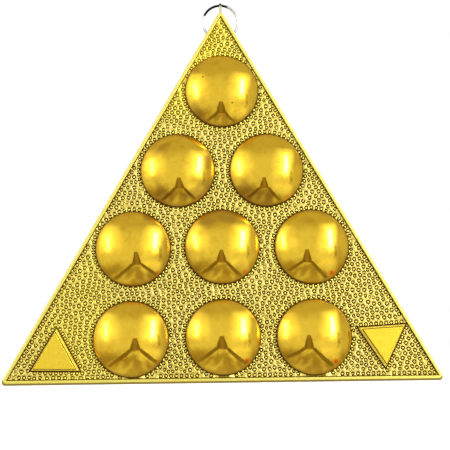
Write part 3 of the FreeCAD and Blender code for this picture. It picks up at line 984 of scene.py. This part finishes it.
def round_cells(sheet, middles):
    """Draws each chosen face onto a circle; returns the roomy faces and the tight ones."""
    finder = Places(middles)
    full, small = set(), set()
    for face in [face for face in sheet.data.polygons if face.select]:
        cx, cz = face.center.x / MM, face.center.z / MM
        around = finder.around(cx, cz)
        x, z = min(around, key=lambda p: (p[0] - cx) ** 2 + (p[1] - cz) ** 2)
        corners = [sheet.data.vertices[i] for i in face.vertices]
        fars = [math.hypot(c.co.x / MM - x, c.co.z / MM - z) for c in corners]
        radius = min(LIP_RADIUS, min(fars))
        for c, far in zip(corners, fars):
            dx, dz = c.co.x / MM - x, c.co.z / MM - z
            c.co = Vector(((x + dx / far * radius) * MM, c.co.y, (z + dz / far * radius) * MM))
        room = inner_room(corners, x, z)
        if room > FULL_ROOM:
            full.add(frozenset(face.vertices))
        elif room > FULL_ROOM * SMALL:
            small.add(frozenset(face.vertices))
    return full, small


def strike_sheet(sheet, middles):
    """Shapes every cell of a sheet into a groove with a bead in it."""
    pick_only(sheet)
    bpy.ops.object.mode_set(mode="EDIT")
    bpy.ops.mesh.select_mode(type="FACE")
    bpy.ops.mesh.select_all(action="SELECT")
    bpy.ops.mesh.inset(use_individual=True, thickness=NET_WIDTH * MM)
    bpy.ops.object.mode_set(mode="OBJECT")
    full, small = round_cells(sheet, middles)
    for struck, scale in ((full, 1.0), (small, SMALL)):
        select_where(sheet, "FACE", lambda face: frozenset(face.vertices) in struck)
        for thickness, depth in BLOW_STEPS:
            bpy.ops.mesh.inset(
                use_individual=True, use_even_offset=False,
                thickness=thickness * scale * MM, depth=depth * scale * MM,
            )
        bpy.ops.mesh.poke(offset=CROWN_RISE * MM)
        bpy.ops.object.mode_set(mode="OBJECT")
    print("full blows", len(full), "small ones", len(small), "of", len(middles))
    bpy.ops.object.shade_smooth_by_angle(angle=BEADS_SMOOTH)


for sheet, middles in sheets:
    strike_sheet(sheet, middles)
    print(sheet.name, "faces", len(sheet.data.polygons))

# %% [markdown]
# ## Colours of the beaded ground
#
# The crests of the beads and of the net are bright, and the grooves are dark: they hold old
# polish, and painted shade deepens them. Close to the domes the contrast is strongest: the crests
# get a painted highlight and the grooves a deeper painted shade. Near the apex and above the left
# triangle hands have rubbed the dark away.

# %% The beaded ground
def beside_domes(metal):
    """A mask that is 1 close to a dome's foot."""
    least = None
    for cx, cz in dome_middles:
        far = metal.square_of_distance(cx, cz)
        least = far if least is None else maths("MINIMUM", far, least)
    return maths("SQRT", least).ramp(DOME_RADIUS + 2.4, DOME_RADIUS + 1.2)


def make_beaded_brass():
    """Bright crests over dark grooves of old polish and painted shade."""
    metal = Metal("beaded_brass")
    x, high = metal.x, metal.high
    cloud, spot, grain = metal.noise(0.07, 3.0), metal.noise(0.7, 2.0), metal.noise(5.0, 2.0)
    bright = mix(cloud, (0.83, 0.655, 0.105), (0.92, 0.755, 0.215))
    # dark grooves: old polish together with painted shade in the hollows
    dark = mix(spot, (0.006, 0.002, 0.0), (0.070, 0.036, 0.0))
    # close to the domes: painted highlight on the crests, deeper painted shade in the grooves
    beside = beside_domes(metal) * cloud.ramp(0.30, 0.60)
    bright = mix(beside * 0.45, bright, (0.95, 0.79, 0.14))
    dark = mix(beside * 0.9, dark, (0.006, 0.003, 0.0))
    rubbed = high.ramp(80.0, 106.0) * x.ramp(14.0, -8.0, 0.3, 1.0)
    rubbed = rubbed + x.between(-60.0, -38.0, 7.0) * high.ramp(48.0, 38.0) * 0.4
    bright = mix(rubbed, bright, (0.94, 0.79, 0.09))
    dark = mix(rubbed, dark, (0.28, 0.19, 0.006))
    crest = metal.above.ramp(0.125, 0.235)
    rough = 0.50 - crest * 0.12 + spot * 0.08
    return metal.finish(mix(crest, dark, bright), rough, grain, 0.02)


beaded_brass = make_beaded_brass()
for sheet, _ in sheets:
    sheet.data.materials.append(beaded_brass)
    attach(sheet, "plaque")
print("sheets that wear", beaded_brass.name + ":", len(sheets))

# %% [markdown]
# ## The domes
#
# A dome is a cast cap, filed, and polished until it is a mirror. A sphere is cut by a plane at
# the shoulder, the cut is drawn down to the foot, and the shoulder is bevelled. Buffing never
# leaves a perfect sphere: the surface has long, shallow waves that bend the lamps' streaks. A
# Displace modifier with cloudy noise gives each dome its own waves.

# %% One dome
CROWN_RADIUS = 19.0
SEGMENTS, RINGS = 96, 94
FOOT_HEIGHT = 0.9
SHOULDER, SHOULDER_STEPS = 0.36, 4


def model_dome(rise):
    """A dome on the plane y = 0, crown towards the front, about the origin, in metres."""
    deselect_all()
    bpy.ops.mesh.primitive_uv_sphere_add(
        segments=SEGMENTS, ring_count=RINGS, radius=CROWN_RADIUS * MM,
        location=(0.0, (CROWN_RADIUS - rise) * MM, 0.0), rotation=(math.pi / 2.0, 0.0, 0.0),
    )
    dome = bpy.context.object
    apply_place()
    bpy.ops.object.mode_set(mode="EDIT")
    bpy.ops.mesh.select_all(action="SELECT")
    shoulder = (0.0, -FOOT_HEIGHT * MM, 0.0)
    bpy.ops.mesh.bisect(
        plane_co=shoulder, plane_no=(0.0, 1.0, 0.0), use_fill=True, clear_outer=True
    )
    select_where(dome, "FACE", lambda face: face.normal.y > 0.99)
    down = {"value": (0.0, FOOT_HEIGHT * MM, 0.0)}
    bpy.ops.mesh.extrude_region_move(TRANSFORM_OT_translate=down)

    def on_shoulder(edge):
        ends = [dome.data.vertices[i].co for i in edge.vertices]
        return all(abs(end.y + FOOT_HEIGHT * MM) < HAIR * MM for end in ends)

    select_where(dome, "EDGE", on_shoulder)
    bpy.ops.mesh.bevel(
        offset=SHOULDER * MM, segments=SHOULDER_STEPS, affect="EDGES", clamp_overlap=False
    )
    bpy.ops.mesh.select_all(action="SELECT")
    bpy.ops.mesh.normals_make_consistent(inside=False)
    bpy.ops.object.mode_set(mode="OBJECT")
    return dome


low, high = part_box("dome_5")
pattern_dome = model_dome((high.y - low.y) / MM)
spread = [round(d / MM, 2) for d in pattern_dome.dimensions]
print("dome faces:", len(pattern_dome.data.polygons), "size", spread)

# %% [markdown]
# ## Polished brass
#
# The domes are a warmer gold than the plate. The polish is nearly perfect on the crown, with
# hair-fine wiping marks, and duller near the foot, where the buffing wheel didn't reach. Towards
# the foot they also turn darker and browner: a little old polish, and painted shade where the
# flank reflects the ground close by. Broad brown smears of old polish lie on the flanks, most on
# the upper domes, and the top dome has two small casting pores.

# %% Polished brass
PORES = [(-6.4, 104.8), (3.6, 95.5)]


def make_polished_brass():
    """Mirror gold with stains, smears, pores, and a duller foot darkened by old polish and
    painted shade.
    """
    metal = Metal("polished_brass")
    above = metal.above
    cloud, stain = metal.noise(0.12, 3.0), metal.noise(0.30, 6.0)
    haze, speck = metal.noise(0.45, 4.0), metal.noise(2.4, 3.0)
    # edge and foot: the lower flank and the foot turn brown, partly old polish, partly painted
    # shade
    edge = (above + (haze - 0.5) * 0.8).ramp(2.2, 1.1)
    foot = (above + (stain - 0.5) * 0.3).ramp(1.25, 0.95)
    pits = speck.ramp(0.74, 0.80)
    for place in PORES:
        pits = pits + metal.square_of_distance(*place).ramp(0.05, 0.16, 1.0, 0.0)

    gold = mix(cloud, (0.95, 0.61, 0.036), (0.985, 0.665, 0.056))
    gold = mix(stain.ramp(0.50, 0.72, 0.0, 0.55), gold, (0.80, 0.44, 0.022))
    smear = metal.noise(0.088, 2.0).ramp(0.50, 0.66) * above.ramp(4.7, 3.3)
    gold = mix(smear * metal.high.ramp(20.0, 70.0, 0.35, 0.75), gold, (0.50, 0.28, 0.03))
    gold = mix(edge * 0.4, gold, (0.42, 0.24, 0.035))
    colour = mix(foot * 0.9, gold, (0.17, 0.085, 0.016))
    colour = mix(pits.ramp(0.5, 1.0, 0.0, 0.8), colour, (0.10, 0.05, 0.01))

    rough = 0.055 + haze.ramp(0.45, 0.75) * 0.06 + edge * 0.22 + foot * 0.14
    waves = haze * 0.5 + stain * 0.3 - pits * 0.6
    return metal.finish(colour, rough, waves, 0.02)


polished_brass = make_polished_brass()
print("domes wear", polished_brass.name)

# %% [markdown]
# Nine copies take their places. Each is turned a little further than the one before, so that
# no two of them have the same waves in the same spot.

# %% Nine domes
WAVE_SIZE = 10.0
WAVE_DEPTH = 0.15
WAVE_MIDDLE = 0.8
TURN_EACH = 40.0
DOME_SMOOTH = math.radians(35.0)


def place_dome(number):
    """A copy of the dome in its place, with its own waves."""
    low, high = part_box(f"dome_{number}")
    middle = Vector(((low.x + high.x) / 2.0, high.y, (low.z + high.z) / 2.0))
    dome = bpy.data.objects.new(f"polished_dome_{number}", pattern_dome.data.copy())
    bpy.context.scene.collection.objects.link(dome)
    turn = Matrix.Rotation(math.radians(TURN_EACH * number), 4, "Y")
    dome.data.transform(Matrix.Translation(middle) @ turn)
    pick_only(dome)
    waves = bpy.data.textures.new(f"waves_{number}", "CLOUDS")
    waves.noise_scale = WAVE_SIZE * MM
    waves.noise_depth = 1
    bpy.ops.object.modifier_add(type="DISPLACE")
    push = dome.modifiers[-1]
    push.texture = waves
    push.texture_coords = "LOCAL"
    push.mid_level = WAVE_MIDDLE
    push.strength = WAVE_DEPTH * MM
    bpy.ops.object.modifier_apply(modifier=push.name)
    bpy.ops.object.shade_smooth_by_angle(angle=DOME_SMOOTH)
    return dome


for number in range(1, 10):
    dome = place_dome(number)
    dome.data.materials.append(polished_brass)
    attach(dome, "plaque")
    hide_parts(f"dome_{number}")
bpy.data.objects.remove(pattern_dome)
print("nine domes placed")

# %% [markdown]
# ## Brown lines at every foot
#
# Polish and old lacquer collect where a dome, a triangle or the rim meets the ground, and show
# as a thin, nearly black line. It is a small fillet of dirt, so a thin torus does it round a
# dome, and round a triangle a three-sided face that is inset and raised a little. A line in the
# material would do for the front view, but these also show from the side. Round the raised
# triangles the dirt lies thickest, and near the apex it is rubbed to a pale brown.

# %% Residue
DULL = 0.04


def make_residue():
    """Dull, nearly black brown, darkest round the triangles and paler near the apex."""
    metal = Metal("polish_residue")
    x, high = metal.x, metal.high
    patch = metal.noise(0.8, 2.0)
    colour = mix(patch, (0.035, 0.018, 0.001), (0.12, 0.065, 0.002))
    rubbed_off = high.ramp(78.0, 118.0) * x.ramp(1.0, -1.0)
    colour = mix(rubbed_off * 0.85, colour, (0.34, 0.21, 0.02))
    thick = x.ramp(40.0, 43.0) * high.ramp(26.0, 23.0)
    thick = thick + x.ramp(-40.0, -43.0) * high.ramp(8.0, 5.5)
    colour = mix(thick * high.ramp(3.0, 4.0), colour, (0.030, 0.010, 0.001))
    sockets = {"Base Color": colour, "Roughness": 0.55 + patch * 0.1, "Specular IOR Level": DULL}
    end_in(Wire.make(metal.tree, "ShaderNodeBsdfPrincipled", None, sockets))
    return metal.material


residue = make_residue()
print("lines wear", residue.name)

# %% [markdown]
# The lines follow what they lie round: the domes' middles and the triangles' tips have been
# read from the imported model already, and the rim's foot is known from its inset.

# %% Residue lines
LINE_HALF_WIDTH = 0.17
CORNERED_HALF_WIDTH = 0.24
LINE_RISE = 0.08
LINE_SINK = 0.04
LINE_TUCK = 0.04
ROUND_LINE_OUT = 0.09
RIM_OVERHANG = 0.05
LINE_SEGMENTS, LINE_SIDES = 96, 6
LINE_SMOOTH = math.radians(80.0)


def add_round_line(name, middle):
    """A low ring of residue round a dome's foot."""
    deselect_all()
    bpy.ops.mesh.primitive_torus_add(
        major_segments=LINE_SEGMENTS, minor_segments=LINE_SIDES,
        major_radius=(DOME_RADIUS + ROUND_LINE_OUT) * MM, minor_radius=LINE_HALF_WIDTH * MM,
        rotation=(math.pi / 2.0, 0.0, 0.0),
        location=(middle[0] * MM, -(GROUND + LAND - LINE_SINK) * MM, middle[1] * MM),
    )
    line = bpy.context.object
    line.name = name
    apply_place()
    bpy.ops.object.shade_smooth_by_angle(angle=LINE_SMOOTH)
    return line


def add_cornered_line(name, tips, overhang, half_width):
    """A low band of residue inside three equal sides, or so far outside of them."""
    deselect_all()
    x, z = middle_of(tips)
    reach = math.hypot(tips[0][0] - x, tips[0][1] - z) + 2.0 * overhang
    turn = math.atan2(tips[0][0] - x, tips[0][1] - z)
    bpy.ops.mesh.primitive_circle_add(
        vertices=3, radius=reach * MM, fill_type="NGON", rotation=(math.pi / 2.0, turn, 0.0),
        location=(x * MM, -(GROUND + LAND) * MM, z * MM),
    )
    line = bpy.context.object
    line.name = name
    apply_place()
    bpy.ops.object.mode_set(mode="EDIT")
    bpy.ops.mesh.select_all(action="SELECT")
    bpy.ops.mesh.inset(thickness=half_width * MM, depth=LINE_RISE * MM)
    bpy.ops.mesh.inset(thickness=half_width * MM, depth=-LINE_RISE * MM)
    bpy.ops.mesh.delete(type="FACE")
    bpy.ops.object.mode_set(mode="OBJECT")
    return line


lines = []
for number, middle in enumerate(dome_middles, start=1):
    lines.append(add_round_line(f"residue_line_{number}", middle))
overhang = 2.0 * CORNERED_HALF_WIDTH - LINE_TUCK
for name, tips in zip(("residue_line_upright", "residue_line_inverted"), raised):
    lines.append(add_cornered_line(name, tips, overhang, CORNERED_HALF_WIDTH))
half = HALF_SIDE - RIM_INSET * math.sqrt(3.0)
rim_foot = [(0.0, APEX_HEIGHT - 2.0 * RIM_INSET), (-half, RIM_INSET), (half, RIM_INSET)]
lines.append(add_cornered_line("residue_line_rim", rim_foot, RIM_OVERHANG, LINE_HALF_WIDTH))
for line in lines:
    line.data.materials.append(residue)
    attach(line, "plaque")
    print(line.name, "faces", len(line.data.polygons))

# %% [markdown]
# ## Raised triangles and lug
#
# These keep their imported shapes and only get their metals. The triangles are a satin gold, worn
# in places, with drafted sides painted paler as a painted sheen, a line of painted shade below
# the flat top, and a brown seam at the foot. The lug is a filed brass, and its very top is
# painted black, painted shade where the wire passes over it.

# %% Triangles and lug
LUG_SHADE_FROM, LUG_SHADE_TO = 132.35, 132.55


def make_triangle_brass():
    """Satin gold on top, sides painted paler as sheen, painted shade under the top, brown at the
    foot.
    """
    metal = Metal("raised_triangle_brass")
    above = metal.above
    cloud, grain, worn = metal.noise(0.16, 3.0), metal.noise(3.0, 3.0), metal.noise(0.55, 4.0)
    top = above.ramp(2.50, 2.58)
    gold = mix(cloud, (0.95, 0.69, 0.042), (1.0, 0.75, 0.062))
    gold = mix(worn.ramp(0.45, 0.75, 0.0, 0.5), gold, (0.86, 0.56, 0.03))
    # painted sheen: the drafted sides are painted paler than the top
    side = mix(cloud, (1.0, 0.76, 0.08), (1.0, 0.84, 0.14))
    # painted shade: a dark line along the top of each flank, just below the flat top
    painted_shade_line = (above + worn * 0.5).ramp(2.0, 2.25) * (1.0 - top)
    side = mix(painted_shade_line * 0.95, side, (0.11, 0.045, 0.004))
    foot = above.ramp(0.45, 0.12)
    colour = mix(foot, mix(top, side, gold), (0.16, 0.06, 0.01))
    rough = 0.36 + grain * 0.12 + worn * 0.10 + (1.0 - top) * 0.14
    return metal.finish(colour, rough, grain + worn * 2.0, 0.035, 0.5 + top * 0.5)


def make_lug_brass():
    """Filed brass with a black top, painted shade where the wire passes over it."""
    metal = Metal("lug_brass")
    grain = metal.noise(4.0, 3.0)
    colour = mix(grain, (0.72, 0.62, 0.34), (0.92, 0.83, 0.52))
    # painted shade: the very top of the lug is painted black
    painted_dark = metal.high.ramp(LUG_SHADE_FROM, LUG_SHADE_TO)
    colour = mix(painted_dark, colour, (0.02, 0.017, 0.014))
    return metal.finish(colour, 0.28 + grain * 0.2, grain, 0.04)


triangle_brass = make_triangle_brass()
for name in ("upright_triangle", "inverted_triangle"):
    dress(name, triangle_brass)
dress("hanger_lug", make_lug_brass())
print("triangles and lug dressed")

# %% [markdown]
# ## Screws and ring
#
# The screws are zinc-plated steel, grey and a little cloudy. The ring is a nickel-plated wire,
# and over its top left it is painted black as painted shade, so its colour turns with the angle
# round the ring's middle.

# %% Screws and ring
SHADED_ARC_FROM, SHADED_ARC_TO = 66.0, 158.0


def make_screw_steel():
    """Cloudy zinc."""
    metal = Metal("screw_steel")
    cloud, grain = metal.noise(0.9, 2.0), metal.noise(6.0, 3.0)
    colour = mix(cloud, (0.50, 0.50, 0.48), (0.66, 0.65, 0.61))
    return metal.finish(colour, 0.30 + cloud * 0.2, grain, 0.015)


def make_plated_wire():
    """Nickel, painted black as painted shade over a part of the turn."""
    metal = Metal("plated_wire")
    low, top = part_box("hanging_ring")
    up = metal.high - (low.z + top.z) / 2.0 / MM
    angle = maths("ARCTAN2", up, metal.x) * DEGREES
    # painted shade: an arc of the wire over the top left is painted black
    painted_dark = angle.between(SHADED_ARC_FROM, SHADED_ARC_TO, 4.0)
    cloud = metal.noise(1.2, 3.0)
    nickel = mix(cloud, (0.62, 0.62, 0.63), (0.78, 0.78, 0.79))
    colour = mix(painted_dark, nickel, (0.012, 0.011, 0.011))
    return metal.finish(colour, 0.16 + cloud * 0.1 + painted_dark * 0.15, cloud, 0.02)


dress("hanging_ring", make_plated_wire())
screw_steel = make_screw_steel()
screws = [name for name in nodes if "screw" in name]
for name in screws:
    dress(name, screw_steel)
print("ring dressed, and", len(screws), "screws")

# %% [markdown]
#
# The view transform is Standard, so that a colour renders about as it is written.

# %% Finish
bpy.context.scene.view_settings.view_transform = "Standard"
